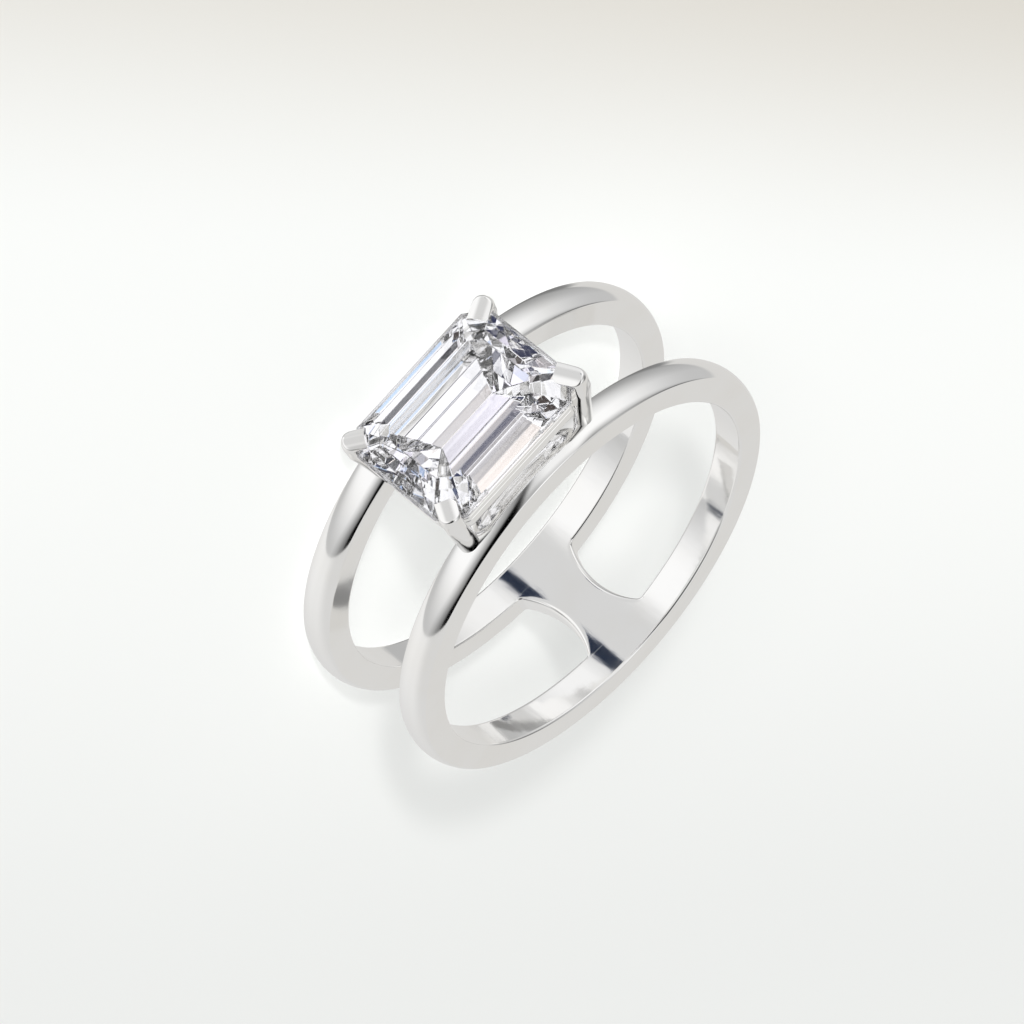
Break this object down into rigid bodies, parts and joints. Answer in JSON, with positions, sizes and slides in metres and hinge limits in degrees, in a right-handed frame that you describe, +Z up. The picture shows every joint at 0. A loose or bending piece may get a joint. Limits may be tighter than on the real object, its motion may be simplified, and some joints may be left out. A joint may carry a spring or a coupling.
{
  "type": "ring",
  "caption": "Polished white metal finger ring of parallel bands joined by a bridge, with a clear emerald cut stone in a claw basket.",
  "frame": {"origin": "on the finger hole's axis, in the plane of the flat side on which the ring lies", "axes": "+Z up along the finger hole, the stone faces -Y, +X runs along the stone's length"},
  "size_m": [0.0202, 0.0231, 0.0071],
  "materials": {
    "polished_silver": "mirror polished white silver",
    "clear_stone": "colourless faceted gemstone"
  },
  "bodies": {
    "root": {"ring": "polished_silver", "stone": "clear_stone"}
  },
  "joints": []
}
